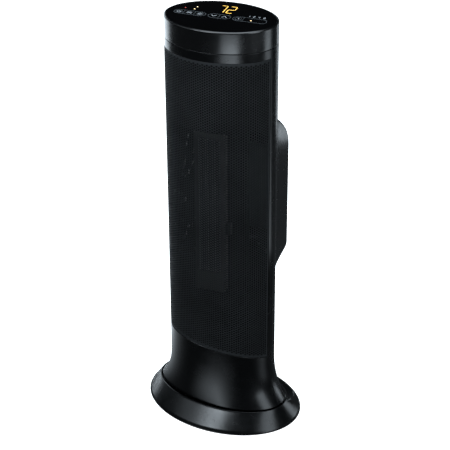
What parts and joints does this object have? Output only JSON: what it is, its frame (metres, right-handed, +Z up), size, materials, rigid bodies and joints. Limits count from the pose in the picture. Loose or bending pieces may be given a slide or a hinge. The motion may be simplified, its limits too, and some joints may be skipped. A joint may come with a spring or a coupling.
{
  "type": "oscillating tower heater",
  "caption": "Slim black oval tower heater on a turning base, with a pierced front grille, rear air intake and a glossy touch panel on top.",
  "frame": {"origin": "On the flat underside of the base (its feet's floor plane is 0), on the upright axis that the tower turns on.", "axes": "+X is the user's right along the base's long axis, +Y is to the rear and +Z is up the tower; at rest the tower is turned 10.14 degrees about +Z."},
  "size_m": [0.2288, 0.1838, 0.585],
  "materials": {
    "satin_black": "satin moulded",
    "grille_black": "satin, pierced",
    "gloss_black": "polished",
    "inner_plastic": "plain moulded",
    "bearing_plastic": "plain moulded, natural",
    "rubber": "matt",
    "steel": "zinc plated",
    "aluminium": "mill finish",
    "circuit_board": "solder-masked board",
    "display": "tinted lens",
    "filter_mesh": "woven screen"
  },
  "bodies": {
    "base": {"base_ring": "satin_black", "base_bottom_cover": "inner_plastic", "rubber_foot_front_left": "rubber", "rubber_foot_front_right": "rubber", "rubber_foot_back_left": "rubber", "rubber_foot_back_right": "rubber", "counterweight": "steel", "cord_gland": "rubber", "thrust_washer": "bearing_plastic", "sector_gear": "bearing_plastic", "tip_over_switch": "inner_plastic"},
    "tip_plunger": {"tip_over_plunger": "bearing_plastic"},
    "blower": {"blower_wheel": "inner_plastic", "blower_shaft": "steel"},
    "pinion": {"drive_pinion": "bearing_plastic"},
    "tower": {"turntable_plate": "inner_plastic", "spindle_retainer": "steel", "oscillation_motor": "steel", "front_frame": "satin_black", "front_grille": "grille_black", "rear_shell": "satin_black", "intake_grille": "satin_black", "filter_screen": "filter_mesh", "top_collar": "satin_black", "control_panel": "gloss_black", "display_board": "circuit_board", "led_display": "display", "lower_bulkhead": "inner_plastic", "upper_bulkhead": "inner_plastic", "scroll_wall": "inner_plastic", "scroll_tongue": "inner_plastic", "blower_motor": "steel", "upper_bearing": "bearing_plastic", "element_frame": "bearing_plastic", "element_fins": "aluminium", "thermal_cutout": "steel", "board_bracket": "inner_plastic", "power_board": "circuit_board", "main_relay": "inner_plastic", "filter_capacitor": "steel"}
  },
  "joints": [
    {"name": "oscillation", "type": "hinge", "parent": "base", "child": "tower", "pos_m": [0, 0, 0.0262], "axis": [0, 0, 1], "range_deg": [-35, 35]},
    {"name": "blower_spin", "type": "hinge", "parent": "tower", "child": "blower", "pos_m": [-0.00282, 0.01575, 0.327], "axis": [0, 0, 1], "continuous": true},
    {"name": "pinion_spin", "type": "hinge", "parent": "tower", "child": "pinion", "pos_m": [0.038, 0, 0.022], "axis": [0, 0, 1], "range_deg": [-131.5, 131.5]},
    {"name": "tip_plunger_slide", "type": "slide", "parent": "base", "child": "tip_plunger", "axis": [0, 0, -1], "range_m": [0, 0.004], "stiffness_N_per_m": 20, "springref_m": 0.004}
  ],
  "couplings": [
    {"joint": "pinion_spin", "follows": "oscillation", "ratio": 3.75}
  ]
}
